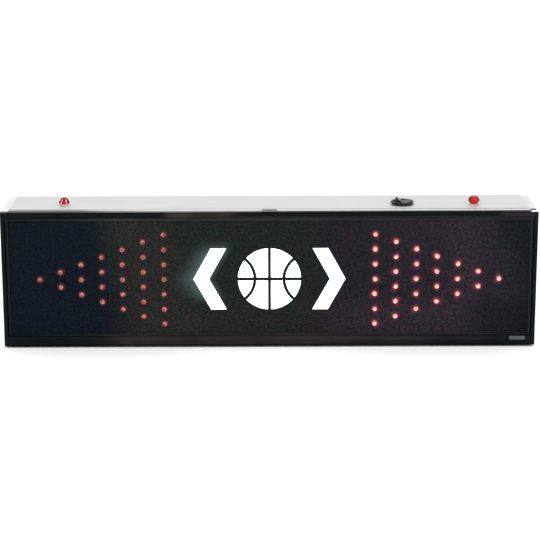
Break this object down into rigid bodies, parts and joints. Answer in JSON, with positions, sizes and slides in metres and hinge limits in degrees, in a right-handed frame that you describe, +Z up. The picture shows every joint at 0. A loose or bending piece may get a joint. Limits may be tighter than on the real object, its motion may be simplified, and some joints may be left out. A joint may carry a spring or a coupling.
{
  "type": "tabletop possession indicator",
  "caption": "Long tabletop box with two triangles of red lamps, a backlit symbol, two pilot lamps and a rocker switch on top.",
  "frame": {"origin": "middle of the footprint, on the table under the feet", "axes": "+X to the right seen from the front, +Y to the back, +Z up; the black front faces -Y"},
  "size_m": [0.5334, 0.076, 0.148],
  "materials": {
    "silver_extrusion": "satin anodised, fine extrusion lines",
    "silver_cap": "satin anodised",
    "rear_sheet": "fine texture paint",
    "blank_plate": "brushed, blank",
    "black_bezel": "satin",
    "gloss_bead": "gloss",
    "textured_panel": "haircell texture",
    "opal_acrylic": "opal, lit from behind",
    "white_plastic": "matt",
    "white_led": "clear resin over phosphor",
    "red_led_unlit": "clear red resin",
    "red_led_lit": "clear red resin, lit",
    "circuit_board": "solder mask",
    "black_component": "moulded",
    "green_terminal": "moulded",
    "heatsink": "black anodised",
    "steel_screw": "zinc plated",
    "brass": "bare",
    "switch_plastic": "gloss",
    "spring_steel": "bright",
    "chrome": "polished",
    "red_lens_unlit": "faceted clear red",
    "red_lens_lit": "faceted clear red, lit",
    "socket_plastic": "moulded",
    "cable_sheath": "soft vinyl",
    "rubber": "matt"
  },
  "bodies": {
    "case": {"arrow_board_left": "circuit_board", "arrow_board_right": "circuit_board", "arrow_leds_left": "red_led_unlit", "arrow_leds_right": "red_led_lit", "bezel_bottom": "black_bezel", "bezel_left": "black_bezel", "bezel_right": "black_bezel", "bezel_top": "black_bezel", "board_connectors": "black_component", "board_screws": "steel_screw", "board_spacers": "brass", "bottom_rail": "silver_extrusion", "cable_arrow_left": "cable_sheath", "cable_arrow_right": "cable_sheath", "cable_lamp": "cable_sheath", "cable_pilot_left": "cable_sheath", "cable_pilot_right": "cable_sheath", "cable_power": "cable_sheath", "cable_switch": "cable_sheath", "capacitors": "black_component", "control_board": "circuit_board", "control_screws": "steel_screw", "control_spacers": "brass", "dc_jack_body": "socket_plastic", "dc_jack_contacts": "brass", "dc_jack_nut": "chrome", "driver_chips": "black_component", "end_cap_left": "silver_cap", "end_cap_right": "silver_cap", "end_cap_screws": "steel_screw", "front_panel": "textured_panel", "glazing_bead": "gloss_bead", "lamp_board": "circuit_board", "lamp_leds": "white_led", "light_box": "white_plastic", "maker_plate": "blank_plate", "pilot_body_left": "chrome", "pilot_body_right": "chrome", "pilot_leds": "red_led_lit", "pilot_lens_left": "red_lens_unlit", "pilot_lens_right": "red_lens_lit", "pilot_nuts": "chrome", "rating_plate": "blank_plate", "rear_cover": "rear_sheet", "rear_cover_screws": "steel_screw", "regulator": "heatsink", "rubber_feet": "rubber", "switch_housing": "switch_plastic", "switch_terminals": "brass", "symbol_diffuser": "opal_acrylic", "terminal_blocks": "green_terminal", "top_rail": "silver_extrusion"},
    "rocker": {"switch_rocker": "switch_plastic", "switch_plunger": "switch_plastic", "switch_spring": "spring_steel"},
    "contact": {"switch_contact": "brass"}
  },
  "joints": [
    {"name": "rocker", "type": "hinge", "parent": "case", "child": "rocker", "pos_m": [0.1337, -0.006, 0.1392], "axis": [0, -1, 0], "range_deg": [0, 24]},
    {"name": "contact", "type": "hinge", "parent": "case", "child": "contact", "pos_m": [0.1337, -0.006, 0.1272], "axis": [0, -1, 0], "range_deg": [-13.2, 0]}
  ],
  "couplings": [
    {"joint": "contact", "follows": "rocker", "ratio": -0.55}
  ]
}
